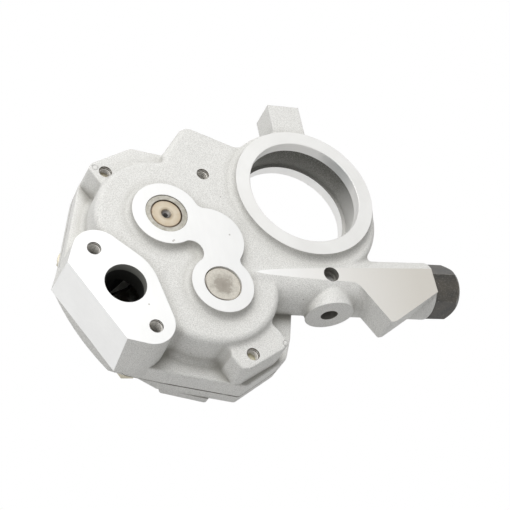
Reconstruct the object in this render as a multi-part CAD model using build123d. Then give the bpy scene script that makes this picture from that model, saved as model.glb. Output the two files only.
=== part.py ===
"""Engine oil pump: a twin-gear pump in a cast aluminium body.

The body carries a large bearing ring on one side and a hollow arm with the
pressure relief valve on the other.  Millimetres, +Z up.  The working frame has
the drive shaft on the Z axis and the machined top faces at Z = 0; each part is
written out with the centre of the ring bore's top edge as the origin.
"""

import os
from math import acos, cos, hypot, pi, radians, sin, tan

from build123d import *

# ---- levels, measured down from the machined top faces -------------------
cast_drop = 5.0  # as-cast top of the housing
arm_drop = 4.0  # milled strip and foot on the arm
boss_drop = 9.6  # tops of the two corner bolt bosses
flange_drop = 28.4  # top of the joint flange
joint_drop = 42.4  # joint face between housing and cover
cover_plate = 8.0  # thickness of the cover's edge
cover_depth = 14.0  # thickness of the cover's body

# ---- casting rules ---------------------------------------------------------
cast_draft = 3.0  # degrees
cast_overlap = 0.6  # how far the upper casting runs into the joint flange
rim_rounding = 4.5
base_rounding = 3.5
corner_rounding = 4.0
arm_rounding = 3.0
side_boss_rounding = 2.0
foot_rounding = 2.5
boss_rim_rounding = 1.2
boss_base_rounding = 2.5
flange_edge = 1.2
mouth_chamfer = 0.3  # round the mouths of tapped holes
bore_chamfer = 0.4

# ---- shafts and gears ------------------------------------------------------
drive_at = (0.0, 0.0)
shaft_spacing = 56.7
shaft_line = -59.6  # direction from the drive shaft to the idler shaft, degrees
gear_teeth = 12
gear_pressure_angle = 25.0
gear_width = 30.0
gear_backlash = 0.24
tip_clearance = 0.08
side_clearance = 0.05
running_clearance = 0.04
drive_shaft_radius = 10.0
idler_shaft_radius = 12.0
bush_radius = 13.55
idler_bush_wall = 2.0
shaft_end_drop = 0.8  # drive shaft end below the pad
idler_end_drop = 1.2
bush_end_drop = 0.6
shaft_edge = 0.8
centre_drill_radius = 3.4
centre_drill_depth = 7.0
centre_hole_radius = 1.6
idler_seat = 10.0  # how far the idler shaft goes into the cover
key_width = 6.0
key_height = 6.0
key_length = 24.0
drive_slot_width = 6.0
drive_slot_depth = 5.0
gallery_radius = 12.0
suction_ceiling = 17.0
delivery_ceiling = 19.0
delivery_reach = 46.1  # from the gear mesh to the delivery port

# ---- walls of the upper casting, over both gear chambers -------------------
drive_wall = 11.15
idler_wall = 12.15
drive_lobe_shift = (1.0, -0.8)
idler_lobe_shift = (-4.8, 7.6)
plate_corners = [
    (5.9, 30.0), (5.9, 48.7), (24.6, 74.8), (98.0, 44.2), (104.0, -20.0), (66.0, -38.0), (20.0, -50.0),
]
plate_rounds = [
    (-20.0, -40.0, 6), (5.9, 43.2, 3), (5.9, 48.7, 2), (24.6, 74.8, 8), (61.1, 59.6, 8), (150.4, 11.2, 25),
    (69.0, -36.6, 3), (75.3, -33.6, 6),
]
plate_pocket = [(17.0, 61.0), (26.5, 70.5), (50.0, 60.5), (48.0, 53.0)]
plate_pocket_floor = 14.0

# ---- outlines: corners by X and Y from the centre named, then the rounding --
flange_by_drive = [
    (-61.3, -25.5, 5), (-44.6, 36.3, 4), (-40.4, 43.2, 4), (-13.5, 56.3, 6), (9.0, 52.6, 0), (41.0, 47.0, 11),
    (73.0, 15.0, 14),
]
flange_by_idler = [(59.3, 6.9, 10), (51.9, -21.6, 8), (45.9, -36.7, 8), (15.5, -55.1, 3.5), (-33.6, -45.3, 0)]
flange_tail = (14.0, -40.4)
flange_tail_width = 8.0
flange_tail_rise = 2.0
flange_side = [(-1.0, -31.1), (-16.5, -7.6), (-28.5, 20.9)]
ledge_by_drive = [
    (-42.8, 37.2, 3), (-39.8, 41.5, 2), (-13.4, 55.0, 5), (8.0, 51.4, 0), (8.0, 30.0, 0), (-20.0, 8.0, 0),
    (-28.0, 12.0, 0), (-35.8, 25.7, 0),
]
corner_by_idler = [
    (1.2, -44.4, 2), (6.8, -52.3, 2), (11.8, -52.3, 2), (35.3, -39.5, 3), (40.5, -35.1, 3), (35.5, -25.8, 0),
    (21.3, -11.1, 0), (3.3, -29.1, 0),
]
cover_tail = (16.8, -36.4)
cover_by_drive = [(72.0, 14.0, 10), (41.0, 45.0, 10), (-20.0, 48.0, 10), (-50.0, 0.0, 10), (-50.0, -30.0, 10)]
cover_by_idler = [
    (-30.2, -23.1, 3), (-30.2, -45.5, 2), (-0.4, -52.8, 2), (3.0, -36.0, 4), (27.0, -30.0, 6),
    (45.3, -36.3, 6), (51.3, -21.6, 6), (58.3, 6.9, 8),
]

# ---- pad round the shaft ends ----------------------------------------------
pad_drive_radius = 22.0
pad_idler_radius = 19.8
pad_gallery_radius = 22.3
pad_gallery_shift = (11.15, 7.35)
pad_notch_radius = 7.8
pad_notch_shift = (-2.35, -2.65)
pad_notch_way = [(0.0, 7.8), (-16.0, 7.8), (-16.0, -18.9), (-1.8, -13.9), (5.5, -5.5)]  # round the notch
pad_creases = [(26.55, -8.85, 5), (7.15, 29.25, 6), (-3.75, 5.15, 3), (3.35, -8.05, 1.5)]

# ---- suction port flange ---------------------------------------------------
port_shift = (-46.85, -26.45)  # from the gear mesh
port_radius = 12.8
port_bore_depth = 36.4
port_by_port = [(-33.2, 13.0, 0), (-21.3, 46.7, 15.4), (17.7, 13.6, 30), (32.1, -45.3, 15), (-3.8, -36.4, 0)]
port_bolt_spacing = 59.7
port_bolt_shift = (-0.9, -2.5)
port_bolt_line = -58.7
port_face_depth = 36.0
port_thread_radius = 4.3
port_thread_depth = 20.0

# ---- delivery port in the cover ---------------------------------------------
outlet_radius = 11.0
outlet_line = 30.6

# ---- bearing ring ----------------------------------------------------------
ring_at = (99.2, 23.3)
ring_radius = 48.3
ring_bore_radius = 38.5
ring_height = 34.0
ring_land = 7.65
ring_lower_land = 7.3
ring_recess = 2.4
ring_flare = 2.6
ring_collar = 4.3  # round the foot of the ring
ring_skirt = 4.7  # and of the casting below the ring, which stands a little to one side
ring_skirt_shift = (-1.7, -8.8)
lug_side_shift = 1.4
lug_stand_off = 7.3  # from the ring's edge to the lug's middle
lug_width = 23.2
lug_length = 38.0
lug_height = 20.8

# ---- arm and relief valve --------------------------------------------------
arm_y = -37.2
arm_flat_to_axis = 17.57
arm_start = 40.0
arm_tip = 55.0  # where the milled strip comes to a point
arm_end = 181.8
arm_draft = 0.0112
foot_depth = 21.0
foot_corners = [
    (123.4, -42.4, 0), (141.0, -71.0, 1), (144.4, -70.4, 1), (181.8, -47.7, 0), (181.8, -37.2, 0),
    (123.4, -37.2, 0),
]
valve_bore_radius = 11.0
valve_seat_x = 99.0
valve_passage_radius = 8.0
valve_passage_start = 20.0  # from the idler shaft
valve_piston_length = 30.0
plug_thread_radius = 13.5
plug_thread_length = 16.0
plug_hex_flats = 32.0
plug_hex_length = 20.4
plug_hex_turn = 51.7
plug_crown = 5.0
plug_stem_length = 15.5
plug_pocket = 10.0
spring_wire = 2.4
spring_turns = 7.0
spring_radius = 6.2
spring_seat_thickness = 2.0
piston_crown = 8.0
piston_wall = 2.4
seat_length = 6.0
seal_radius = 16.0
seal_thickness = 1.5
side_port_radius = 5.6
side_port_depth = 9.0
side_port_x = 106.8
side_port_lift = 1.5  # above the arm's axis
side_boss_radius = 15.9
side_boss_draft = 6.0
side_boss_reach = 20.8
relief_hole_radius = 5.2
relief_hole_depth = 4.6
relief_hole_x = 106.0
oilway_radius = 4.0

# ---- cover bolts, all put in from below ------------------------------------
bolt_radius = 4.0
bolt_length = 20.0
long_bolt_length = 35.0
bolt_hole_radius = 4.5
thread_radius = 3.85
bolt_head_flats = 13.0
bolt_head_height = 4.2
washer_radius = 8.0
washer_thickness = 1.4
bolt_pocket_radius = 10.5
dowel_radius = 4.0
dowel_length = 16.0

pitch_radius = shaft_spacing / 2
gear_module = shaft_spacing / gear_teeth
tip_radius = pitch_radius + gear_module
root_radius = pitch_radius - 1.2 * gear_module
chamber_radius = tip_radius + tip_clearance
chamber_top = -joint_drop + gear_width + 2 * side_clearance
gear_low = -joint_drop + side_clearance
arm_z = -arm_drop - arm_flat_to_axis
side_port_z = arm_z + side_port_lift
cover_bottom = -joint_drop - cover_depth
plate_bottom = -joint_drop - cover_plate
shaft_low = cover_bottom + 0.5
idler_low = -joint_drop - idler_seat
dowel_low = -joint_drop - dowel_length / 2
casting_low = -flange_drop - cast_overlap
ring_collar_radius = round(ring_radius + ring_collar, 2)
ring_skirt_radius = round(ring_radius + ring_skirt, 2)


def shifted(at, by):
    return (at[0] + by[0], at[1] + by[1])


def polar(at, reach, angle):
    """Place at this distance from another, in this direction."""
    return (at[0] + reach * cos(radians(angle)), at[1] + reach * sin(radians(angle)))


idler_at = polar(drive_at, shaft_spacing, shaft_line)
mesh_at = polar(drive_at, shaft_spacing / 2, shaft_line)
port_at = shifted(mesh_at, port_shift)
outlet_at = polar(mesh_at, delivery_reach, outlet_line)
long_bolt_rays = [(drive_at, chamber_radius + 14.3, 132.5), (drive_at, chamber_radius + 13.8, 48.4),
                  (idler_at, chamber_radius + 12.1, -70.6)]
bolt_rays = [(drive_at, chamber_radius + 16.0, -173.2), (idler_at, chamber_radius + 18.2, -11.3),
             (port_at, port_radius + 17.0, -66.0)]
dowel_places = [polar(drive_at, chamber_radius + 11.9, 157.1), polar(idler_at, chamber_radius + 14.4, -36.3)]
long_bolt_places = [polar(*ray) for ray in long_bolt_rays]
bolt_places = [polar(*ray) for ray in bolt_rays]


# ---- small helpers ---------------------------------------------------------
def rod(at, radius, low, high):
    """Upright cylinder between two levels."""
    return Pos(at[0], at[1], low) * extrude(Circle(radius), high - low)


def rod_x(radius, low, high, y=arm_y, z=arm_z):
    """Cylinder along X on the arm's axis."""
    return Pos(low, y, z) * Rot(0, 90, 0) * extrude(Circle(radius), high - low)


def rod_y(radius, low, high):
    """Cylinder along Y through the arm's side port."""
    return Pos(side_port_x, high, side_port_z) * Rot(90, 0, 0) * extrude(Circle(radius), high - low)


def slab(outline, low, high):
    return extrude(Pos(0, 0, low) * outline, high - low)


def turned(*profile):
    """Solid of revolution about Z from radius, height pairs."""
    return revolve(make_face(Plane.XZ * Polyline(*profile, close=True)), Axis.Z)


def nearest_corner(face, x, y):
    return face.vertices().sort_by_distance((x, y, 0))[0]


def rounded(face, corners):
    """Round the face's corners nearest to these X, Y, radius triples."""
    for x, y, radius in corners:
        if radius > 0:
            face = fillet(nearest_corner(face, x, y), radius)
    return face


def outline_of(corners):
    """Closed outline through X, Y, radius triples."""
    face = make_face(Polyline(*[(x, y) for x, y, radius in corners], close=True))
    return rounded(face, corners)


def moved(corners, at):
    """The same corners, measured from another centre."""
    return [(x + at[0], y + at[1], radius) for x, y, radius in corners]


def edges_at(shape, level):
    """Edges that lie flat at this level."""
    return [edge for edge in shape.edges() if abs(edge.bounding_box().min.Z - level) < 0.01
            and abs(edge.bounding_box().max.Z - level) < 0.01]


def cast_boss(outline, high, low, rim, draft=cast_draft):
    """As-cast boss that widens downwards, with a rounded top edge."""
    shape = extrude(Pos(0, 0, high) * outline, low - high, taper=-draft)
    return fillet(edges_at(shape, high), rim)


def blend_on(body, piece, radius):
    """Join a piece to the body with a rounding where the two meet."""
    whole = body + piece
    return fillet(new_edges(body, piece, combined=whole), radius)


def tapped(at, low, high):
    """Drilling for a thread, open at the high end, with its chamfered mouth."""
    mouth = thread_radius + mouth_chamfer
    drill = turned((0, low), (thread_radius, low), (thread_radius, high - mouth_chamfer),
                   (mouth, high), (mouth, high + 1), (0, high + 1))
    return Pos(at[0], at[1], 0) * drill


# ---- outlines --------------------------------------------------------------
def flange_outline(tail):
    """Joint flange of the housing and the cover, which differ at the tail by the port."""
    tail_at = shifted(port_at, tail)
    corners = moved([(*flange_side[2], 0)], port_at) + moved(flange_by_drive, drive_at)
    corners += moved(flange_by_idler, idler_at)
    corners += [(*tail_at, 0), (tail_at[0] - flange_tail_width, tail_at[1] + flange_tail_rise, 3)]
    corners += moved([(*flange_side[0], 0)], port_at)
    edge = Polyline(*[(x, y) for x, y, radius in corners])
    side = ThreePointArc(*[shifted(port_at, point) for point in flange_side])
    return rounded(make_face(edge + side), corners)


def casting_outline():
    """Top over both gear chambers, out to the ring and the arm."""
    face = Pos(*shifted(drive_at, drive_lobe_shift)) * Circle(chamber_radius + drive_wall)
    face += Pos(*shifted(idler_at, idler_lobe_shift)) * Circle(chamber_radius + idler_wall)
    face += Pos(*shifted(ring_at, ring_skirt_shift)) * Circle(ring_skirt_radius)
    face += Pos(*ring_at) * Circle(ring_collar_radius)
    face += make_face(Polyline(*plate_corners, close=True))
    return rounded(face, plate_rounds)


def pad_outline():
    """Machined pad round both shaft ends, with a third lobe over the delivery gallery."""
    notch_at = shifted(mesh_at, pad_notch_shift)
    way_out = Polyline(*[shifted(notch_at, corner) for corner in pad_notch_way], close=True)
    gap = Pos(*notch_at) * Circle(pad_notch_radius) + make_face(way_out)
    face = Pos(*shifted(mesh_at, pad_gallery_shift)) * Circle(pad_gallery_radius) - gap
    face += Pos(*drive_at) * Circle(pad_drive_radius) + Pos(*idler_at) * Circle(pad_idler_radius)
    return rounded(face, moved(pad_creases, mesh_at))


def port_body(low):
    """Port flange from the machined face down: cast walls, and one upright milled side."""
    corners = moved(port_by_port, port_at)
    (start_x, start_y, _), (end_x, end_y, _) = corners[0], corners[-1]
    milled = Plane((start_x, start_y, 0), z_dir=(start_y - end_y, end_x - start_x, 0))
    return split(extrude(outline_of(corners), low, taper=-cast_draft), milled, keep=Keep.TOP)


# ---- housing ---------------------------------------------------------------
def arm_body():
    length = arm_end - arm_start
    start_radius = arm_flat_to_axis + arm_draft * (arm_start - arm_tip)
    end_radius = start_radius + arm_draft * length
    cone = Pos(arm_start, arm_y, arm_z) * Rot(0, 90, 0) * Cone(
        start_radius, end_radius, length, align=(Align.CENTER, Align.CENTER, Align.MIN)
    )
    above = Pos(arm_start - 1, arm_y, -arm_drop) * Box(
        length + 2, 4 * arm_flat_to_axis, 2 * arm_flat_to_axis, align=(Align.MIN, Align.CENTER, Align.MIN)
    )
    return cone - above


def foot_body():
    return slab(outline_of(foot_corners), -arm_drop - foot_depth, -arm_drop)


def side_boss():
    """Boss of the arm's side port, wider at its face."""
    start = Pos(side_port_x, arm_y - side_boss_reach, side_port_z) * Rot(-90, 0, 0)
    return start * extrude(Circle(side_boss_radius), side_boss_reach, taper=side_boss_draft)


def lug_body():
    at = shifted(ring_at, (lug_side_shift, ring_radius + lug_stand_off))
    return slab(Pos(*at) * Rectangle(lug_width, lug_length), -cast_drop - lug_height, -cast_drop)


def ring_body(low):
    return Pos(*ring_at) * turned((0, 0), (ring_radius, 0), (ring_radius + ring_flare / 2, low), (0, low))


def ring_bore():
    low = -ring_height
    recess = ring_bore_radius + ring_recess
    return Pos(*ring_at) * turned(
        (0, 1), (ring_bore_radius + bore_chamfer, 1), (ring_bore_radius + bore_chamfer, 0),
        (ring_bore_radius, -bore_chamfer), (ring_bore_radius, -ring_land), (recess, -ring_land),
        (recess, low + ring_lower_land), (ring_bore_radius, low + ring_lower_land),
        (ring_bore_radius, low - 1), (0, low - 1),
    )


def upper_casting():
    """Everything above the joint flange, with the roundings of its mould."""
    body = cast_boss(casting_outline(), -cast_drop, casting_low, rim_rounding)
    body = blend_on(body, lug_body(), arm_rounding)
    body = blend_on(body, slab(pad_outline(), -cast_drop - 1, 0), base_rounding)
    body = blend_on(body, port_body(casting_low), corner_rounding)
    body = blend_on(body, corner_boss(corner_by_idler, idler_at), corner_rounding)
    body = blend_on(body, corner_boss(ledge_by_drive, drive_at), boss_base_rounding)
    body = blend_on(body, ring_body(casting_low), corner_rounding)
    body = blend_on(body, arm_body(), arm_rounding)
    body = blend_on(body, side_boss(), side_boss_rounding)
    return blend_on(body, foot_body(), foot_rounding)


def corner_boss(corners, at):
    return cast_boss(outline_of(moved(corners, at)), -boss_drop, casting_low, boss_rim_rounding)


def base_flare():
    """Rounding where the upper casting's wall stands on the joint flange."""
    wall = extrude(Pos(0, 0, -cast_drop) * casting_outline(), casting_low + cast_drop, taper=-cast_draft)
    table = slab(Pos(*mesh_at) * Circle(8 * chamber_radius), casting_low, -flange_drop)
    inside = offset(flange_outline(flange_tail), -flange_edge)
    return blend_on(table, wall, base_rounding) & slab(inside, casting_low, -flange_drop + base_rounding)


def galleries():
    """Suction gallery on the port side, delivery gallery on the other."""
    reach = hypot(*port_shift)
    suction = Rot(0, 0, shaft_line - 90) * Pos(reach / 2, 0) * SlotCenterToCenter(reach, 2 * gallery_radius)
    delivery = Rot(0, 0, outlet_line) * Pos(delivery_reach / 2, 0) * SlotCenterToCenter(
        delivery_reach, 2 * gallery_radius)
    low = -joint_drop - 1
    return slab(Pos(*mesh_at) * suction, low, -suction_ceiling) + slab(
        Pos(*mesh_at) * delivery, low, -delivery_ceiling)


def port_bolt_places():
    middle = shifted(port_at, port_bolt_shift)
    return [polar(middle, side * port_bolt_spacing / 2, port_bolt_line) for side in (-1, 1)]


def valve_cuts():
    """Bores of the relief valve and its two side holes."""
    cuts = rod_x(valve_bore_radius, valve_seat_x - seat_length, arm_end + 1)
    cuts += rod_x(valve_passage_radius, idler_at[0] + valve_passage_start, valve_seat_x + 1)
    cuts += rod_x(plug_thread_radius, arm_end - plug_thread_length, arm_end + 1)
    cuts += rod_x(seal_radius, arm_end - seal_thickness, arm_end + 1)
    face_y = arm_y - side_boss_reach
    cuts += rod_y(side_port_radius, face_y - 1, face_y + side_port_depth)
    cuts += rod_y(oilway_radius, face_y, arm_y)
    hole_at = (relief_hole_x, arm_y)
    cuts += rod(hole_at, relief_hole_radius, -arm_drop - relief_hole_depth, 1)
    return cuts + rod(hole_at, oilway_radius, arm_z, 1)


def pump_housing():
    body = upper_casting()
    flange = slab(flange_outline(flange_tail), -joint_drop, -flange_drop)
    body += fillet(edges_at(flange, -flange_drop), flange_edge)
    body += base_flare()
    body += port_body(-port_face_depth) & slab(Circle(8 * chamber_radius), -port_face_depth, casting_low)
    body += ring_body(-ring_height) & slab(Circle(8 * chamber_radius), -ring_height, casting_low)
    body -= slab(outline_of([(x, y, 3) for x, y in plate_pocket]), casting_low - 1, -plate_pocket_floor)

    for at in (drive_at, idler_at):
        body -= rod(at, chamber_radius, -joint_drop - 1, chamber_top)
    body -= galleries()
    body -= rod(drive_at, bush_radius, -joint_drop, 1)
    body -= rod(idler_at, idler_shaft_radius, -joint_drop, 1)
    body -= rod(port_at, port_radius, -port_bore_depth, 1)
    for at in port_bolt_places():
        body -= rod(at, port_thread_radius, -port_thread_depth, 1)
    for at, top in zip(long_bolt_places, (-boss_drop, -cast_drop, -boss_drop)):
        body -= tapped(at, -joint_drop - 1, top)
    for at in bolt_places:
        body -= rod(at, thread_radius, -joint_drop - 1, plate_bottom + bolt_length + 0.4)
    for at in dowel_places:
        body -= rod(at, dowel_radius, -joint_drop - 1, -joint_drop + dowel_length / 2 + 0.5)
    body -= ring_bore()
    return body - valve_cuts()


def head_room(ray):
    """Space round a bolt head, open towards the cover's edge."""
    size = 2 * bolt_pocket_radius
    way_out = Rot(0, 0, ray[2]) * Pos(bolt_pocket_radius, 0) * Rectangle(size, size)
    return Pos(*polar(*ray)) * (Circle(bolt_pocket_radius) + way_out)


def pump_cover():
    body = slab(flange_outline(cover_tail), plate_bottom, -joint_drop)
    thick = outline_of(moved(cover_by_idler, idler_at) + moved(cover_by_drive, drive_at))
    thick = slab(thick, cover_bottom, plate_bottom)
    body += fillet(edges_at(thick, cover_bottom), flange_edge)
    for ray in bolt_rays + long_bolt_rays:
        body -= slab(head_room(ray), cover_bottom - 1, plate_bottom)
        body -= rod(polar(*ray), bolt_hole_radius, plate_bottom - 1, -joint_drop + 1)
    for at in dowel_places:
        body -= rod(at, dowel_radius, dowel_low - 0.5, -joint_drop + 1)
    body -= rod(drive_at, bush_radius, cover_bottom - 1, -joint_drop + 1)
    body -= rod(idler_at, idler_shaft_radius, idler_low - 0.3, -joint_drop + 1)
    body -= rod(outlet_at, outlet_radius, cover_bottom - 1, -joint_drop + 1)
    return body


# ---- gears -----------------------------------------------------------------
def involute(angle):
    return tan(angle) - angle


def gear_outline(turn):
    """Spur gear with involute flanks; one tooth is centred on the turn angle."""
    base_radius = pitch_radius * cos(radians(gear_pressure_angle))
    half_tooth = pi / (2 * gear_teeth) - gear_backlash / (4 * pitch_radius)
    flank_start = max(base_radius, root_radius)
    flank = []
    for step in range(6):
        radius = flank_start + (tip_radius - flank_start) * step / 5
        roll = acos(min(1, base_radius / radius))
        lean = half_tooth + involute(radians(gear_pressure_angle)) - involute(roll)
        flank.append((radius, lean))

    def spot(radius, angle):
        return (radius * cos(angle), radius * sin(angle))

    foot = flank[0][1]
    left = Spline(*[spot(r, a) for r, a in flank])
    right = Spline(*[spot(r, -a) for r, a in flank])
    tip = ThreePointArc(left @ 1, (tip_radius, 0), right @ 1)
    inner = root_radius - 2
    sides = Polyline(right @ 0, spot(inner, -foot), spot(inner, foot), left @ 0)
    tooth = make_face(left + tip + right + sides)
    face = Circle(root_radius)
    for index in range(gear_teeth):
        face += Rot(0, 0, turn + 360 / gear_teeth * index) * tooth
    return face


def gear_body(at, turn, bore_radius):
    face = gear_outline(turn) - Circle(bore_radius)
    return Pos(at[0], at[1], gear_low) * extrude(face, gear_width)


def key_block(length):
    """Square bar half sunk in the drive shaft, as long as given, level with the gear's middle."""
    place = Rot(0, 0, shaft_line + 90) * Pos(drive_shaft_radius, 0, gear_low + gear_width / 2)
    return place * Box(key_height, key_width, length)


def drive_pump_gear():
    return gear_body(drive_at, shaft_line, drive_shaft_radius) - key_block(gear_width + 1)


def driven_pump_gear():
    return gear_body(idler_at, shaft_line + 180 + 180 / gear_teeth, idler_shaft_radius + idler_bush_wall)


def gear_key():
    return key_block(key_length)


# ---- shafts and bushes -----------------------------------------------------
def drive_shaft():
    shaft = rod(drive_at, drive_shaft_radius, shaft_low, -shaft_end_drop)
    shaft = chamfer(shaft.edges().filter_by(GeomType.CIRCLE), shaft_edge)
    shaft -= gear_key()
    shaft -= Pos(0, 0, -shaft_end_drop) * turned(
        (0, 0), (centre_drill_radius, 0), (centre_hole_radius, centre_hole_radius - centre_drill_radius),
        (centre_hole_radius, -centre_drill_depth), (0, -centre_drill_depth))
    shaft -= Pos(0, 0, shaft_low) * Box(drive_slot_width, 3 * drive_shaft_radius, 2 * drive_slot_depth)
    return shaft


def idler_shaft():
    shaft = rod(idler_at, idler_shaft_radius, idler_low, -idler_end_drop)
    return chamfer(shaft.edges().filter_by(GeomType.CIRCLE), shaft_edge)


def bush(at, inner, outer, low, high):
    return rod(at, outer, low, high) - rod(at, inner, low - 1, high + 1)


def housing_bush():
    return bush(drive_at, drive_shaft_radius + running_clearance, bush_radius, chamber_top, -bush_end_drop)


def cover_bush():
    return bush(drive_at, drive_shaft_radius + running_clearance, bush_radius, shaft_low, -joint_drop)


def driven_gear_bush():
    inner = idler_shaft_radius + running_clearance
    return bush(idler_at, inner, idler_shaft_radius + idler_bush_wall, gear_low, gear_low + gear_width)


# ---- relief valve ----------------------------------------------------------
def along_arm(x, shape):
    """Stand a shape built on +Z along the arm from the given X."""
    return Pos(x, arm_y, arm_z) * Rot(0, 90, 0) * shape


def relief_piston():
    outer = valve_bore_radius - running_clearance
    inner = outer - piston_wall
    body = turned(
        (0, 0), (outer - 1, 0), (outer, 1), (outer, valve_piston_length), (inner, valve_piston_length),
        (inner, piston_crown), (0, piston_crown),
    )
    return along_arm(valve_seat_x, body)


def valve_seat():
    ring = turned((valve_passage_radius, 0), (valve_bore_radius, 0), (valve_bore_radius, seat_length),
                  (valve_passage_radius + 1, seat_length), (valve_passage_radius, seat_length - 1))
    return along_arm(valve_seat_x - seat_length, ring)


def relief_plug():
    face = RegularPolygon(plug_hex_flats / 2, 6, major_radius=False)
    head = Rot(0, 0, plug_hex_turn) * extrude(face, plug_hex_length)
    corner = plug_hex_flats / 2 / cos(radians(30))
    crown = turned(
        (0, 0), (corner + 1, 0), (corner + 1, plug_hex_length - plug_crown),
        (corner - 0.6, plug_hex_length - 0.7 * plug_crown), (plug_hex_flats / 2 - 1.2, plug_hex_length),
        (0, plug_hex_length),
    )
    stem = rod((0, 0), plug_thread_radius, -plug_stem_length, 0)
    pocket = rod((0, 0), spring_radius + spring_wire, -plug_stem_length - 1, -plug_stem_length + plug_pocket)
    return along_arm(arm_end, (head & crown) + stem - pocket)


def plug_seal():
    return along_arm(arm_end, bush((0, 0), plug_thread_radius, seal_radius, -seal_thickness, 0))


def spring_seat():
    x = arm_end - plug_stem_length + plug_pocket - spring_seat_thickness
    return along_arm(x, rod((0, 0), spring_radius + spring_wire / 2 + 0.8, 0, spring_seat_thickness))


def relief_spring():
    start = valve_seat_x + piston_crown + spring_wire / 2
    end = arm_end - plug_stem_length + plug_pocket - spring_seat_thickness - spring_wire / 2
    path = Helix((end - start) / spring_turns, end - start, spring_radius)
    section = RegularPolygon(spring_wire / 2 - 0.02, 6)
    return along_arm(start, sweep(Plane(path @ 0, z_dir=path % 0) * section, path))


# ---- fasteners -------------------------------------------------------------
def bolt(at, length):
    head_low = plate_bottom - washer_thickness - bolt_head_height
    head_face = RegularPolygon(bolt_head_flats / 2, 6, major_radius=False)
    head = Pos(at[0], at[1], head_low) * extrude(head_face, bolt_head_height)
    return head + rod(at, bolt_radius, head_low + 1, plate_bottom + length)


def cover_bolts():
    return Compound([bolt(at, bolt_length) for at in bolt_places])


def long_bolts():
    return Compound([bolt(at, long_bolt_length) for at in long_bolt_places])


def bolt_washers():
    low = plate_bottom - washer_thickness
    return Compound([bush(at, bolt_radius + 0.3, washer_radius, low, plate_bottom)
                     for at in bolt_places + long_bolt_places])


def dowel_pins():
    pins = [rod(at, dowel_radius, dowel_low, dowel_low + dowel_length) for at in dowel_places]
    return Compound([chamfer(pin.edges().filter_by(GeomType.CIRCLE), 0.6) for pin in pins])


PARTS = (
    pump_housing, pump_cover, housing_bush, cover_bush, drive_shaft, gear_key, drive_pump_gear, idler_shaft,
    driven_gear_bush, driven_pump_gear, valve_seat, relief_piston, relief_spring, spring_seat, relief_plug,
    plug_seal, cover_bolts, long_bolts, bolt_washers, dowel_pins,
)


def main():
    os.makedirs("parts", exist_ok=True)
    home = Pos(-ring_at[0], -ring_at[1], 0)
    for build in PARTS:
        export_step(home * build(), f"parts/{build.__name__}.step")


main()
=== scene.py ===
from math import cos, hypot, pi, radians, sin

import bmesh
import bpy
from mathutils import Matrix, Vector


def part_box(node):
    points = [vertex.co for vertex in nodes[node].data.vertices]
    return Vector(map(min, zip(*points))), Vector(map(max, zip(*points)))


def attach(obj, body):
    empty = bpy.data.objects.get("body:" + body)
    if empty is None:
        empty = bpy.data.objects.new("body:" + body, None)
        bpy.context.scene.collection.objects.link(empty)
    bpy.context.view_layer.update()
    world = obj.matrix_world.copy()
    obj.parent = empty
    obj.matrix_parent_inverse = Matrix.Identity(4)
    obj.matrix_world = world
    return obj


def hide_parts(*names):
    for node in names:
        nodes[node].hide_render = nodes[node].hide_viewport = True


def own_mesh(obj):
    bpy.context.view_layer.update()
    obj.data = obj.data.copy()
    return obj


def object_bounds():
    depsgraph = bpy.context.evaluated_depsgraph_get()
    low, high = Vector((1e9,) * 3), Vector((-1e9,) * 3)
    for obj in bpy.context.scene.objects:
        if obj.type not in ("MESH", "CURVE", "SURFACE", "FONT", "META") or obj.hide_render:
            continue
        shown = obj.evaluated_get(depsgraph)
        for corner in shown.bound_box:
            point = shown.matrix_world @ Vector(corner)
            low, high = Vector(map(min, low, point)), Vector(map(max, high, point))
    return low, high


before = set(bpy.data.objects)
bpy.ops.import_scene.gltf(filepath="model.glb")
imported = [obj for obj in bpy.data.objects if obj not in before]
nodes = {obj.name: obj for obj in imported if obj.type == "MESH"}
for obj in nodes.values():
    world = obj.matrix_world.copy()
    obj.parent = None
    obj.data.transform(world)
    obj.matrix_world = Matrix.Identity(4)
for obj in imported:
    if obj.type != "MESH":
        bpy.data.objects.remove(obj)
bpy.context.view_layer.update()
MM = 0.001
PER_METRE = 1000.0  # millimetres

# ---- where the camera stands -------------------------------------------------
LENS = 83.9
SENSOR = 36.0
CAMERA_AT = Vector((-0.3370, -0.4150, 0.5668))
LOOK_AZIMUTH = 51.33
LOOK_DOWN = 50.57
ROLL = 34.2

# ---- places and sizes on the pump, in millimetres, in the row's frame ------------
DRIVE = (-99.2, -23.3)
IDLER = (-70.51, -72.21)
PORT = (-131.70, -74.20)
RING = (0.0, 0.0)
STRIP_LEVEL = -4.0
JOINT_LEVEL = -42.4
COVER_LOW = -56.4
PORT_HOLES = [(-148.11, -51.20), (-117.10, -102.21)]
LONG_HOLES = [(-131.3, 11.7), (-68.0, 11.8), (-55.5, -114.9)]
SIDE_HOLE = (7.6, -20.07)
SIDE_HOLE_RADIUS = 5.6
RELIEF_HOLE = (6.8, -60.5)
RELIEF_HOLE_RADIUS = 5.2
PORT_HOLE_RADIUS = 4.3
LONG_HOLE_RADIUS = 4.15
LONG_HOLE_WALL = 3.85
LONG_HOLE_TOPS = [-9.6, -5.0, -9.6]
THREAD_PITCH = 1.5
RING_BORE = 38.5
RING_RECESS = 40.9
PORT_RADIUS = 12.8
CHAMBER_RADIUS = 33.2
MILLED_SIDE = Vector((-0.859, -0.511, 0.0))
EJECTOR_MARKS = [(-137.6, 14.8), (-32.6, -107.0)]
EJECTOR_RADIUS = 1.8
EJECTOR_LEVEL = -10.0  # the marks show only above it
NICKS = [(-98.2, -43.6), (-97.4, -42.9), (-60.2, -37.0), (-119.6, -88.0)]
# the upper land's darker band is a painted reflection
SHADE_WAY = (0.82, 0.57)  # towards the darker band on the upper land
# the idler's dark rim is painted shade
RIM_WAY = (0.7, 0.7)  # away from the idler's dark rim

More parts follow.
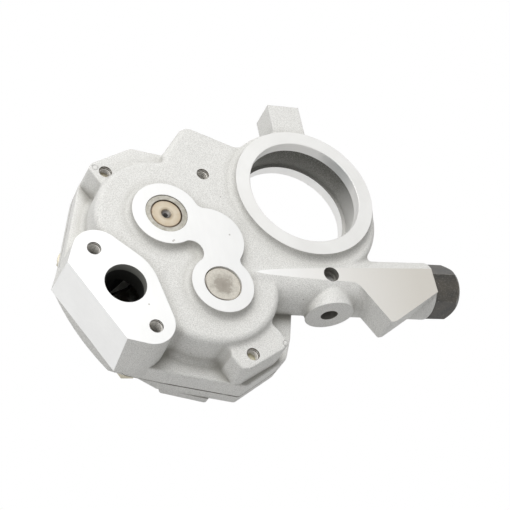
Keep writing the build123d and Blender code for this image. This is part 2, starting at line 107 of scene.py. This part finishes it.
# ---- which faces are which ------------------------------------------------------
TAPPED_HOLES = [(at, PORT_HOLE_RADIUS) for at in PORT_HOLES] + [(at, LONG_HOLE_RADIUS) for at in LONG_HOLES]
# the hole whose bolt end gets a painted highlight
BOLT_END = LONG_HOLES[2]
LEVEL_SLACK = 0.05
WALL_SLACK = 0.1
LEVEL_NORMAL = 0.999
END_NORMAL = 0.99
WALL_NORMAL = 0.9
RING_REACH = 60.0
BORE_REACH = RING_BORE + 0.5
RECESS_FROM = RING_BORE + 0.6
RECESS_TO = RING_RECESS + 0.3
RECESS_LOW = -28.0
RECESS_HIGH = -7.0
LOW_LAND_TOP = -20.0
MILLED_SIDE_LOW = -36.1
SIDE_HOLE_END = -66.0
RELIEF_HOLE_TOP = STRIP_LEVEL - 0.6
HOLES_LOW = -30.0
CHAMBER_TOP = -11.0
CHAMBER_LOW = -42.3
PORT_REACH = 20.0

# ---- relief spring, in millimetres ------------------------------------------------
SPRING_TURNS = 7.0
SPRING_RADIUS = 6.2
WIRE_RADIUS = 1.18
STEPS_PER_TURN = 24
WIRE_SIDES = 10

# ---- thread crests, in millimetres --------------------------------------------------
THREAD_DEPTH = 0.55
THREAD_HALF = 0.3 * THREAD_PITCH
THREAD_SUNK = 0.05
THREAD_STEPS = 20
PORT_THREAD = (-0.5, -18.0)
CORNER_THREAD = (0.6, 11.0)  # below each hole's mouth

# ---- stage, in metres ---------------------------------------------------------------
WORLD_LEVEL = 0.34
FLOOR_REACH = 3.0
FLOOR_GAP = 0.0005


def put(name, data):
    """A new object in the scene."""
    placed = bpy.data.objects.new(name, data)
    bpy.context.scene.collection.objects.link(placed)
    return placed


def add_camera():
    """The photograph's viewpoint: turned about its own axis by ROLL."""
    turn, down, roll = radians(LOOK_AZIMUTH), radians(LOOK_DOWN), radians(ROLL)
    look = Vector((cos(turn) * cos(down), sin(turn) * cos(down), -sin(down)))
    level = Vector((sin(turn), -cos(turn), 0.0))
    above = level.cross(look)
    right = level * cos(roll) + above * sin(roll)
    up = right.cross(look)
    camera = bpy.data.cameras.new("camera")
    camera.lens = LENS
    camera.sensor_width = SENSOR
    camera.clip_start = 0.01
    placed = put("camera", camera)
    axes = Matrix((right, up, -look)).transposed().to_4x4()
    placed.matrix_world = Matrix.Translation(CAMERA_AT) @ axes
    bpy.context.scene.camera = placed


# ---- node helpers ------------------------------------------------------------
class Graph:
    """Short calls for one material's nodes. Lengths are in millimetres, and noise scales per metre."""

    def __init__(self, name):
        self.material = bpy.data.materials.new(name)
        self.material.use_nodes = True
        self.tree = self.material.node_tree
        self.shader = self.tree.nodes["Principled BSDF"]
        self.place = self.add("ShaderNodeTexCoord").outputs["Object"]
        self.normal = None

    def add(self, kind, **settings):
        node = self.tree.nodes.new(kind)
        for key, value in settings.items():
            setattr(node, key, value)
        return node

    def feed(self, socket, value):
        if isinstance(value, bpy.types.NodeSocket):
            self.tree.links.new(value, socket)
        elif isinstance(value, tuple) and len(value) == 3 and socket.type == "RGBA":
            socket.default_value = (*value, 1.0)
        else:
            socket.default_value = value

    def math(self, operation, *values):
        node = self.add("ShaderNodeMath", operation=operation)
        for socket, value in zip(node.inputs, values):
            self.feed(socket, value)
        return node.outputs["Value"]

    def times(self, first, second):
        return self.math("MULTIPLY", first, second)

    def toward(self, x, y, way):
        """How far along a level direction."""
        return self.math("ADD", self.times(x, way[0]), self.times(y, way[1]))

    def along(self, axis):
        """Place along X, Y or Z, in millimetres."""
        node = self.add("ShaderNodeSeparateXYZ")
        self.feed(node.inputs[0], self.place)
        return self.times(node.outputs[axis], PER_METRE)

    def from_axis(self, at):
        """Distance from an upright axis, and its two parts."""
        x = self.math("SUBTRACT", self.along("X"), at[0])
        y = self.math("SUBTRACT", self.along("Y"), at[1])
        square = self.math("ADD", self.times(x, x), self.times(y, y))
        return self.math("SQRT", square), x, y

    def noise(self, scale, detail=3.0, roughness=0.6, stretch=None, place=None):
        node = self.add("ShaderNodeTexNoise")
        place = place or self.place
        if stretch:
            move = self.add("ShaderNodeMapping")
            self.feed(move.inputs["Vector"], place)
            move.inputs["Scale"].default_value = stretch
            place = move.outputs["Vector"]
        self.feed(node.inputs["Vector"], place)
        self.feed(node.inputs["Scale"], scale)
        self.feed(node.inputs["Detail"], detail)
        self.feed(node.inputs["Roughness"], roughness)
        return node.outputs["Fac"]

    def rings(self, at, scale):
        """Noise that changes only with the distance from an upright axis: turning marks."""
        reach = self.from_axis(at)[0]
        place = self.add("ShaderNodeCombineXYZ")
        self.feed(place.inputs["X"], self.times(reach, MM))
        return self.noise(scale, 2.0, 0.6, place=place.outputs[0])

    def specks(self, spacing, size):
        """Scattered dots: 1 on a dot and 0 elsewhere."""
        node = self.add("ShaderNodeTexVoronoi")
        self.feed(node.inputs["Vector"], self.place)
        self.feed(node.inputs["Scale"], PER_METRE / spacing)
        reach = self.times(node.outputs["Distance"], spacing)
        return self.level(reach, size, 0.6 * size)

    def level(self, value, low, high, start=0.0, end=1.0):
        node = self.add("ShaderNodeMapRange")
        self.feed(node.inputs["Value"], value)
        for name, number in (("From Min", low), ("From Max", high), ("To Min", start), ("To Max", end)):
            self.feed(node.inputs[name], number)
        return node.outputs["Result"]

    def ramp(self, value, stops):
        """Colours at these values, which may be in any unit."""
        low, high = stops[0][0], stops[-1][0]
        node = self.add("ShaderNodeValToRGB")
        self.feed(node.inputs["Fac"], self.level(value, low, high))
        elements = node.color_ramp.elements
        while len(elements) < len(stops):
            elements.new(0.5)
        for element, (at, colour) in zip(elements, stops):
            element.position = (at - low) / (high - low)
            element.color = (*colour, 1.0)
        return node.outputs["Color"]

    def mix(self, factor, first, second, kind="MIX"):
        node = self.add("ShaderNodeMix", data_type="RGBA", blend_type=kind)
        for index, value in ((0, factor), (6, first), (7, second)):
            self.feed(node.inputs[index], value)
        return node.outputs[2]

    def soft_edges(self, radius):
        """Catches light along edges as if they were rounded by this radius, and returns a mask that is 1
        along edges, where the materials paint highlights and shade.
        """
        node = self.add("ShaderNodeBevel", samples=4)
        self.feed(node.inputs["Radius"], radius * MM)
        self.normal = node.outputs["Normal"]
        true = self.add("ShaderNodeNewGeometry").outputs["Normal"]
        dot = self.add("ShaderNodeVectorMath", operation="DOT_PRODUCT")
        self.feed(dot.inputs[0], self.normal)
        self.feed(dot.inputs[1], true)
        return self.level(dot.outputs["Value"], 0.995, 0.9)

    def crease_shade(self, reach):
        """1 in an inner corner and 0 on open surfaces: the mask for painted shade in corners."""
        node = self.add("ShaderNodeAmbientOcclusion", samples=8, only_local=True)
        self.feed(node.inputs["Distance"], reach * MM)
        return self.level(node.outputs["AO"], 0.97, 0.55)

    def bump(self, height, strength, depth):
        node = self.add("ShaderNodeBump")
        self.feed(node.inputs["Height"], height)
        self.feed(node.inputs["Strength"], strength)
        self.feed(node.inputs["Distance"], depth * MM)
        if self.normal is not None:
            self.feed(node.inputs["Normal"], self.normal)
        self.normal = node.outputs["Normal"]

    def finish(self, colour, roughness, metallic):
        self.feed(self.shader.inputs["Base Color"], colour)
        self.feed(self.shader.inputs["Roughness"], roughness)
        self.feed(self.shader.inputs["Metallic"], metallic)
        if self.normal is not None:
            self.feed(self.shader.inputs["Normal"], self.normal)
        return self.material


# ---- materials -----------------------------------------------------------------
def grained(g, dark, light):
    """Blasted casting grain: fine speckle over slow patches."""
    fine = g.noise(1650.0, 2.0, 0.7)
    patch = g.noise(55.0, 3.0)
    low = g.mix(g.level(patch, 0.35, 0.65), dark, tuple(1.06 * c for c in dark))
    g.bump(g.noise(140.0, 2.0), 0.2, 0.5)
    g.bump(fine, 0.85, 0.42)
    return g.mix(g.level(fine, 0.36, 0.64), low, light)


def cast_aluminium():
    g = Graph("cast_aluminium")
    edge = g.soft_edges(1.0)
    colour = grained(g, (0.56, 0.555, 0.53), (0.82, 0.815, 0.79))
    # painted highlight with some wear: edges lighter, more in some patches than in others
    worn = g.times(edge, g.level(g.noise(260.0, 2.0), 0.35, 0.6, 0.35, 1.0))
    colour = g.mix(worn, colour, (0.84, 0.835, 0.82))
    # painted shade: inner corners and fillets darkened, where shade falls
    colour = g.mix(g.times(g.crease_shade(8.5), 0.8), colour, (0.33, 0.32, 0.285))
    height = g.along("Z")
    joint = g.level(g.math("ABSOLUTE", g.math("SUBTRACT", height, JOINT_LEVEL)), 0.75, 0.35)
    dirt = g.level(g.noise(120.0, 3.0), 0.3, 0.55, 0.45, 1.0)
    colour = g.mix(g.times(joint, dirt), colour, (0.075, 0.062, 0.045))
    colour = g.mix(g.times(g.specks(17.0, 0.45), 0.8), colour, (0.16, 0.14, 0.12))
    for mark in EJECTOR_MARKS:
        reach = g.from_axis(mark)[0]
        ring = g.level(g.math("ABSOLUTE", g.math("SUBTRACT", reach, EJECTOR_RADIUS)), 0.5, 0.1)
        flat = g.level(height, EJECTOR_LEVEL - 0.2, EJECTOR_LEVEL + 0.2)
        g.bump(g.times(ring, flat), 0.9, 0.5)
    return g.finish(colour, 0.62, 0.1)


def recess_aluminium():
    g = Graph("cast_recess")
    # painted light and shade: grime and painted shade keep the recess dark, painted light lightens it
    # towards +X and -Y, and lower down it turns towards a mid grey
    across = g.math("SUBTRACT", g.along("X"), g.along("Y"))
    grime_and_painted_light = g.ramp(across, [
        (-45.0, (0.11, 0.108, 0.095)), (-5.0, (0.085, 0.083, 0.070)), (18.0, (0.12, 0.118, 0.104)),
        (32.0, (0.38, 0.377, 0.36)), (55.0, (0.74, 0.735, 0.71)),
    ])
    painted_light_below = g.level(g.along("Z"), -14.0, -26.5, 0.0, 0.45)
    grime_and_painted_light = g.mix(painted_light_below, grime_and_painted_light, (0.40, 0.395, 0.375))
    fine = g.noise(1900.0, 2.0, 0.7)
    g.bump(fine, 0.9, 0.35)
    light = g.mix(0.45, grime_and_painted_light, (0.55, 0.545, 0.52))
    return g.finish(g.mix(g.level(fine, 0.42, 0.68), grime_and_painted_light, light), 0.7, 0.0)


def port_wall():
    g = Graph("port_wall")
    # painted shade: the wall turns black below its top few millimetres, where shade falls in the port
    shade = g.ramp(g.along("Z"), [
        (-6.6, (0.022, 0.022, 0.020)), (-5.8, (0.26, 0.26, 0.235)), (0.0, (0.34, 0.34, 0.315)),
    ])
    g.bump(g.noise(1300.0, 2.0, 0.7), 0.5, 0.3)
    return g.finish(shade, 0.6, 0.2)


def inner_wall():
    g = Graph("chamber_painted_shade")
    # painted shade: the walls of the gear chambers and the port's passage are near black
    g.bump(g.noise(500.0, 2.0), 0.3, 0.3)
    return g.finish(g.mix(g.noise(90.0), (0.012, 0.012, 0.011), (0.03, 0.03, 0.027)), 0.45, 0.3)


def drilled_wall_painted_shade():
    g = Graph("drilled_wall_painted_shade")
    # painted shade: the drilled holes' walls are dark, as shade falls inside them
    g.bump(g.noise(1500.0, 2.0, 0.7), 0.4, 0.2)
    return g.finish(g.mix(g.noise(160.0), (0.10, 0.095, 0.085), (0.30, 0.29, 0.265)), 0.5, 0.2)


def machined(name, dark, light, marks=None, painted_shade_x=None, gloss=(0.42, 0.25), shade=None):
    """Face-milled or turned aluminium with faint tool marks."""
    g = Graph(name)
    edge = g.soft_edges(0.25)
    tool = g.rings(marks, 1500.0) if marks else g.noise(500.0, 2.0, stretch=(1.0, 0.12, 1.0))
    patch = g.noise(28.0, 3.0)
    colour = g.mix(g.level(patch, 0.35, 0.65), dark, light)
    colour = g.mix(g.times(g.level(tool, 0.3, 0.7), 0.12), colour, tuple(0.86 * c for c in dark))
    # painted shade: the face darkens and warms towards +X, as its light falls off
    if painted_shade_x:
        colour = g.mix(g.level(g.along("X"), painted_shade_x[0], painted_shade_x[1]), colour, painted_shade_x[2])
    # painted reflection: a darker band across the face, towards SHADE_WAY
    if shade:
        across = g.toward(g.along("X"), g.along("Y"), SHADE_WAY)
        colour = g.mix(g.level(across, shade[0], shade[1]), colour, shade[2])
    for nick in NICKS:
        spot = g.level(g.from_axis(nick)[0], 0.75, 0.35)
        colour = g.mix(g.times(spot, 0.6), colour, (0.20, 0.17, 0.14))
    colour = g.mix(g.times(g.specks(23.0, 0.35), 0.8), colour, (0.25, 0.23, 0.2))
    # painted shade: edges a little darker
    colour = g.mix(g.times(edge, 0.35), colour, (0.55, 0.55, 0.54))
    g.bump(tool, 0.06, 0.05)
    return g.finish(colour, *gloss)


def shaft_end():
    g = Graph("drive_shaft_steel")
    edge = g.soft_edges(0.2)
    reach = g.from_axis(DRIVE)[0]
    # straw colours with painted shade: near black in the centre hole and thin dark rings at the edge
    straw_and_painted_shade = g.ramp(reach, [
        (0.0, (0.03, 0.022, 0.016)), (2.7, (0.06, 0.042, 0.03)), (3.5, (0.30, 0.24, 0.16)),
        (5.2, (0.50, 0.43, 0.325)), (8.8, (0.43, 0.355, 0.25)), (9.2, (0.22, 0.15, 0.09)),
        (9.5, (0.29, 0.22, 0.155)), (10.0, (0.21, 0.16, 0.115)),
    ])
    streak = g.rings(DRIVE, 900.0)
    patch = g.noise(220.0, 3.0)
    colour = g.mix(g.times(g.level(patch, 0.4, 0.7), 0.35), straw_and_painted_shade, (0.56, 0.53, 0.465))
    # painted highlight along the end's edges
    colour = g.mix(g.times(edge, 0.3), colour, (0.5, 0.42, 0.32))
    g.bump(streak, 0.15, 0.1)
    below = g.level(g.along("Z"), -3.0, -1.2)
    return g.finish(g.mix(below, (0.35, 0.34, 0.33), colour), 0.38, 0.45)


def bush_bronze():
    g = Graph("bush_bronze")
    reach = g.from_axis(DRIVE)[0]
    # painted shade: dark rings at the inner and outer edges stand in for the shadow in the gaps
    bands = g.ramp(reach, [
        (9.9, (0.10, 0.08, 0.06)), (10.15, (0.16, 0.13, 0.10)), (10.4, (0.44, 0.425, 0.38)),
        (13.1, (0.46, 0.445, 0.395)), (13.35, (0.16, 0.145, 0.12)), (13.6, (0.08, 0.07, 0.06)),
    ])
    wear = g.noise(350.0, 3.0)
    g.bump(g.rings(DRIVE, 1200.0), 0.15, 0.1)
    worn = g.mix(0.8, bands, (0.55, 0.53, 0.48), "MULTIPLY")
    return g.finish(g.mix(g.level(wear, 0.35, 0.7), bands, worn), 0.42, 0.35)


def idler_steel():
    g = Graph("idler_steel")
    reach, x, y = g.from_axis(IDLER)
    rough = g.noise(260.0, 4.0, 0.65)
    fuzzy = g.math("ADD", reach, g.level(rough, 0.25, 0.75, -3.0, 3.0))
    bands = g.ramp(fuzzy, [
        (0.0, (0.26, 0.235, 0.20)), (4.5, (0.31, 0.285, 0.245)), (7.5, (0.50, 0.475, 0.42)),
        (10.8, (0.56, 0.53, 0.47)), (12.0, (0.45, 0.42, 0.36)),
    ])
    # painted shade: a dark crescent at the rim on the -X, -Y side
    near_side = g.level(g.toward(x, y, RIM_WAY), -3.0, -9.0)
    rim = g.times(g.level(reach, 10.1, 10.5), near_side)
    colour = g.mix(rim, bands, (0.06, 0.05, 0.04))
    fine = g.noise(1100.0, 2.0)
    g.bump(rough, 0.3, 0.2)
    pits = g.times(g.level(fine, 0.4, 0.7), 0.3)
    return g.finish(g.mix(pits, colour, (0.25, 0.22, 0.18)), 0.42, 0.35)


def black_oxide():
    g = Graph("black_oxide")
    edge = g.soft_edges(0.5)
    cloud = g.noise(90.0, 4.0)
    fine = g.noise(900.0, 2.0, 0.7)
    base = g.mix(g.level(cloud, 0.35, 0.65), (0.030, 0.029, 0.026), (0.068, 0.060, 0.048))
    colour = g.mix(g.times(g.level(fine, 0.5, 0.75), 0.35), base, (0.22, 0.21, 0.19))
    # wear and painted highlight: edges lighter in patches, as rubbed metal and as glints
    rubbed_and_glinting = g.times(edge, g.level(g.noise(420.0, 3.0), 0.38, 0.6))
    colour = g.mix(rubbed_and_glinting, colour, (0.45, 0.42, 0.37))
    colour = g.mix(g.specks(4.5, 0.3), colour, (0.42, 0.40, 0.36))
    g.bump(fine, 0.35, 0.2)
    return g.finish(colour, 0.45, 0.1)


def plain(name, colour, roughness, metallic):
    """One colour with a fine variation, lighter along its edges as a painted highlight."""
    g = Graph(name)
    edge = g.soft_edges(0.2)
    shade = g.noise(600.0, 3.0)
    body = g.mix(g.level(shade, 0.3, 0.7), tuple(0.78 * c for c in colour), colour)
    body = g.mix(g.times(edge, 0.4), body, tuple(min(0.9, 1.25 * c) for c in colour))
    g.bump(shade, 0.15, 0.1)
    return g.finish(body, roughness, metallic)


MATERIALS = {
    "cast": cast_aluminium(),
    "bush": bush_bronze(),
    "shaft": shaft_end(),
    "idler": idler_steel(),
    "bronze": plain("inner_bronze", (0.36, 0.27, 0.17), 0.4, 0.7),
    # painted shade: the gears, deep in the chambers, are near black
    "gear": plain("gear_steel_painted_shade", (0.022, 0.022, 0.021), 0.5, 0.2),
    "ground": plain("ground_steel", (0.55, 0.55, 0.54), 0.3, 0.8),
    "spring": plain("spring_steel", (0.2, 0.2, 0.2), 0.35, 0.9),
    "black": black_oxide(),
    "copper": plain("copper_seal", (0.6, 0.36, 0.22), 0.4, 0.9),
    "zinc": plain("zinc_yellow", (0.66, 0.61, 0.48), 0.38, 0.5),
}
FINISH = {
    "pump_housing": "cast", "pump_cover": "cast", "housing_bush": "bush", "cover_bush": "bush",
    "drive_shaft": "shaft", "gear_key": "ground", "drive_pump_gear": "gear", "idler_shaft": "idler",
    "driven_gear_bush": "bronze", "driven_pump_gear": "gear", "valve_seat": "ground",
    "relief_piston": "ground", "relief_spring": "spring", "spring_seat": "ground", "relief_plug": "black",
    "plug_seal": "copper", "cover_bolts": "zinc", "long_bolts": "zinc", "bolt_washers": "zinc",
    "dowel_pins": "ground",
}


def dress(piece, material):
    piece.data.materials.clear()
    piece.data.materials.append(material)


def paint_faces(piece, material, wanted):
    """Give another material to the faces that wanted() picks by centre, in millimetres, and normal."""
    slot = len(piece.data.materials)
    piece.data.materials.append(material)
    for polygon in piece.data.polygons:
        if wanted(polygon.center * PER_METRE, polygon.normal):
            polygon.material_index = slot


def near(centre, at, low, high):
    return low <= hypot(centre.x - at[0], centre.y - at[1]) <= high


def upward(centre, normal, level):
    return normal.z > LEVEL_NORMAL and abs(centre.z - level) < LEVEL_SLACK


def is_wall(normal):
    return abs(normal.z) < WALL_NORMAL


def on_top(centre, normal):
    return upward(centre, normal, 0.0) and not near(centre, RING, 0.0, RING_REACH)


def on_ring(centre, normal):
    return upward(centre, normal, 0.0) and near(centre, RING, 0.0, RING_REACH)


def on_strip(centre, normal):
    return upward(centre, normal, STRIP_LEVEL)


def on_milled_side(centre, normal):
    return normal.dot(MILLED_SIDE) > 0.9995 and centre.z > MILLED_SIDE_LOW


def in_bore(centre, normal):
    return near(centre, RING, 0.0, BORE_REACH) and is_wall(normal)


def in_low_bore(centre, normal):
    return in_bore(centre, normal) and centre.z < LOW_LAND_TOP


def in_recess(centre, normal):
    return near(centre, RING, RECESS_FROM, RECESS_TO) and RECESS_LOW < centre.z < RECESS_HIGH


def in_port(centre, normal):
    return near(centre, PORT, 0.0, PORT_RADIUS + WALL_SLACK) and is_wall(normal)


def in_drilled_hole(centre, normal):
    """The relief valve's two holes: one in the arm's side boss, one in its top strip."""
    from_side_axis = hypot(centre.x - SIDE_HOLE[0], centre.z - SIDE_HOLE[1])
    if from_side_axis < SIDE_HOLE_RADIUS + WALL_SLACK and centre.y < SIDE_HOLE_END:
        return True
    in_top = near(centre, RELIEF_HOLE, 0.0, RELIEF_HOLE_RADIUS + WALL_SLACK)
    return in_top and HOLES_LOW < centre.z < RELIEF_HOLE_TOP


def in_tapped_hole(centre, normal):
    in_hole = any(near(centre, at, 0.0, radius + WALL_SLACK) for at, radius in TAPPED_HOLES)
    return in_hole and is_wall(normal) and centre.z > HOLES_LOW


def in_chambers(centre, normal):
    """Gear chambers and the port's passage, but not the outside beyond the port."""
    if normal.dot(MILLED_SIDE) > 0.9 and (centre - Vector((*PORT, 0.0))).dot(MILLED_SIDE) > 0.0:
        return False
    inside = near(centre, DRIVE, 0.0, CHAMBER_RADIUS) or near(centre, IDLER, 0.0, CHAMBER_RADIUS)
    return CHAMBER_LOW < centre.z < CHAMBER_TOP and (inside or near(centre, PORT, 0.0, PORT_REACH))


def on_bolt_end(centre, normal):
    return normal.z > END_NORMAL and near(centre, BOLT_END, 0.0, LONG_HOLE_RADIUS)


def on_cover_face(centre, normal):
    return normal.z < -LEVEL_NORMAL and abs(centre.z - COVER_LOW) < LEVEL_SLACK


housing = nodes["pump_housing"]
for name, finish in FINISH.items():
    dress(nodes[name], MATERIALS[finish])

paint_faces(housing, machined("milled_face", (0.74, 0.74, 0.73), (0.78, 0.78, 0.77)), on_top)
paint_faces(housing, machined("turned_face", (0.72, 0.715, 0.695), (0.78, 0.777, 0.76), RING), on_ring)
paint_faces(housing, machined("milled_strip", (0.82, 0.82, 0.81), (0.86, 0.86, 0.85),
                              painted_shade_x=(-45.0, 70.0, (0.60, 0.575, 0.525))), on_strip)
# painted reflection: this milled face is lighter than the others, as it reflects bright surroundings
paint_faces(housing, machined("milled_side_painted_light", (0.88, 0.88, 0.87), (0.92, 0.92, 0.91), gloss=(0.35, 0.6)),
            on_milled_side)
# painted reflection: the upper land darkens in a band towards SHADE_WAY
paint_faces(housing, machined("upper_land", (0.72, 0.71, 0.69), (0.78, 0.77, 0.75), RING,
                              gloss=(0.38, 0.5), shade=(34.5, 38.4, (0.50, 0.51, 0.50))), in_bore)
# painted light: the lower land is a lighter copy of the bored finish, where light falls from below
paint_faces(housing, machined("lower_land_painted_light", (0.86, 0.855, 0.84), (0.92, 0.915, 0.90), RING,
                              gloss=(0.35, 0.7)), in_low_bore)
paint_faces(housing, recess_aluminium(), in_recess)
paint_faces(housing, inner_wall(), in_chambers)
paint_faces(housing, drilled_wall_painted_shade(), in_drilled_hole)
paint_faces(housing, port_wall(), in_port)
# painted shade: the tapped holes' walls behind the crests are dark
paint_faces(housing, plain("thread_root_painted_shade", (0.13, 0.115, 0.095), 0.5, 0.2), in_tapped_hole)
# painted highlight: the end of one long bolt, deep in its hole, is pale so that it glints
paint_faces(nodes["long_bolts"], plain("bolt_end_painted_glint", (0.90, 0.86, 0.66), 0.35, 0.3), on_bolt_end)
paint_faces(nodes["pump_cover"], machined("cover_face", (0.70, 0.70, 0.69), (0.76, 0.76, 0.75)),
            on_cover_face)


# ---- the relief spring, a fixed coil, though in the pump it shortens as its piston slides ---
def swept(name, sections, material):
    """A closed piece through these sections, which all have as many points, in metres."""
    sides, last = len(sections[0]), len(sections) - 1
    faces = [tuple(range(sides)), tuple(range(last * sides, (last + 1) * sides))[::-1]]
    for step in range(last):
        this, following = step * sides, (step + 1) * sides
        for side in range(sides):
            after = (side + 1) % sides
            faces.append((this + side, this + after, following + after, following + side))
    mesh = bpy.data.meshes.new(name)
    mesh.from_pydata([point for section in sections for point in section], [], faces)
    made = bmesh.new()
    made.from_mesh(mesh)
    bmesh.ops.recalc_face_normals(made, faces=made.faces)
    made.to_mesh(mesh)
    made.free()
    piece = put(name, mesh)
    dress(piece, material)
    return piece


def wire_ring(turn, x, middle):
    """Points round the wire's section, this far along the coil, in metres."""
    points = []
    for side in range(WIRE_SIDES):
        round_wire = 2 * pi * side / WIRE_SIDES
        reach = SPRING_RADIUS + WIRE_RADIUS * cos(round_wire)
        along = x + WIRE_RADIUS * sin(round_wire) * MM
        points.append((along, middle.y + reach * cos(turn) * MM, middle.z + reach * sin(turn) * MM))
    return points


def add_spring():
    low, high = (Vector(corner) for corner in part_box("relief_spring"))
    middle = (low + high) / 2
    start, end = low.x + WIRE_RADIUS * MM, high.x - WIRE_RADIUS * MM
    steps = int(SPRING_TURNS * STEPS_PER_TURN)
    sections = [wire_ring(2 * pi * step / STEPS_PER_TURN, start + (end - start) * step / steps, middle)
                for step in range(steps + 1)]
    spring = swept("relief_spring_coil", sections, MATERIALS["spring"])
    spring.data.shade_smooth()
    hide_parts("relief_spring")
    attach(spring, "housing")
    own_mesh(spring)


add_spring()


# ---- thread crests in the tapped holes --------------------------------------------------
def thread_section(at, turn, level, radius, crest):
    """The ridge's three corners at this turn, in metres."""
    root = radius + THREAD_SUNK
    corners = ((root, THREAD_HALF), (radius - crest, 0.0), (root, -THREAD_HALF))
    return [((at[0] + reach * cos(turn)) * MM, (at[1] + reach * sin(turn)) * MM, (level + lift) * MM)
            for reach, lift in corners]


def add_thread(name, at, radius, top, bottom, material):
    """A helical ridge on the hole's wall, which fades out at both ends."""
    steps = int((top - bottom) / THREAD_PITCH * THREAD_STEPS)
    sections = []
    for step in range(steps + 1):
        level = top - THREAD_HALF - (top - bottom - 2 * THREAD_HALF) * step / steps
        crest = THREAD_DEPTH * min(1.0, step / THREAD_STEPS, (steps - step) / THREAD_STEPS)
        sections.append(thread_section(at, 2 * pi * step / THREAD_STEPS, level, radius, crest))
    thread = swept(name, sections, material)
    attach(thread, "housing")


crests = plain("thread_crest", (0.78, 0.755, 0.70), 0.4, 0.3)
for number, at in enumerate(PORT_HOLES):
    add_thread(f"port_thread_{number}", at, PORT_HOLE_RADIUS, *PORT_THREAD, crests)
for number, (at, mouth) in enumerate(zip(LONG_HOLES, LONG_HOLE_TOPS)):
    start, end = (mouth - depth for depth in CORNER_THREAD)
    add_thread(f"corner_thread_{number}", at, LONG_HOLE_WALL, start, end, crests)


# ---- stage -----------------------------------------------------------------------
def seen_directly(tree):
    """1 for rays from the camera and from glossy surfaces, 0 for the rest."""
    path = tree.nodes.new("ShaderNodeLightPath")
    seen = tree.nodes.new("ShaderNodeMath")
    seen.operation = "MAXIMUM"
    tree.links.new(path.outputs["Is Camera Ray"], seen.inputs[0])
    tree.links.new(path.outputs["Is Glossy Ray"], seen.inputs[1])
    return seen.outputs[0]


def add_floor():
    """A pale floor, which the camera and glossy surfaces see as plain white."""
    mesh = bpy.data.meshes.new("floor")
    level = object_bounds()[0][2] - FLOOR_GAP
    square = ((-1, -1), (1, -1), (1, 1), (-1, 1))
    corners = [(x * FLOOR_REACH, y * FLOOR_REACH, level) for x, y in square]
    mesh.from_pydata(corners, [], [(0, 1, 2, 3)])
    put("floor", mesh)
    g = Graph("floor")
    white = g.add("ShaderNodeEmission")
    white.inputs["Strength"].default_value = 1.0
    blend = g.add("ShaderNodeMixShader")
    g.shader.inputs["Base Color"].default_value = (0.8, 0.8, 0.8, 1.0)
    g.shader.inputs["Roughness"].default_value = 0.8
    g.feed(blend.inputs[0], seen_directly(g.tree))
    g.feed(blend.inputs[1], g.shader.outputs[0])
    g.feed(blend.inputs[2], white.outputs[0])
    g.feed(g.tree.nodes["Material Output"].inputs["Surface"], blend.outputs[0])
    mesh.materials.append(g.material)


def add_light(name, at, target, size, power):
    lamp = bpy.data.lights.new(name, "AREA")
    lamp.size = size
    lamp.energy = power
    placed = put(name, lamp)
    placed.location = at
    placed.rotation_euler = (Vector(target) - Vector(at)).to_track_quat("-Z", "Y").to_euler()


def add_world():
    """Soft light from all round, which the camera and glossy surfaces see as white."""
    world = bpy.data.worlds.new("studio")
    world.use_nodes = True
    tree = world.node_tree
    back = tree.nodes["Background"]
    strength = tree.nodes.new("ShaderNodeMapRange")
    strength.inputs["To Min"].default_value = WORLD_LEVEL
    strength.inputs["To Max"].default_value = 1.0
    tree.links.new(seen_directly(tree), strength.inputs["Value"])
    tree.links.new(strength.outputs["Result"], back.inputs["Strength"])
    back.inputs["Color"].default_value = (1.0, 1.0, 1.0, 1.0)
    bpy.context.scene.world = world


add_camera()
add_floor()
add_world()
add_light("key", at=(-0.3, 0.45, 1.0), target=(-0.05, -0.03, 0.0), size=0.8, power=10.7)
add_light("fill", at=(-1.0, -0.3, 0.6), target=(0.0, 0.0, 0.0), size=0.9, power=2.5)

bpy.context.scene.view_settings.view_transform = "Standard"
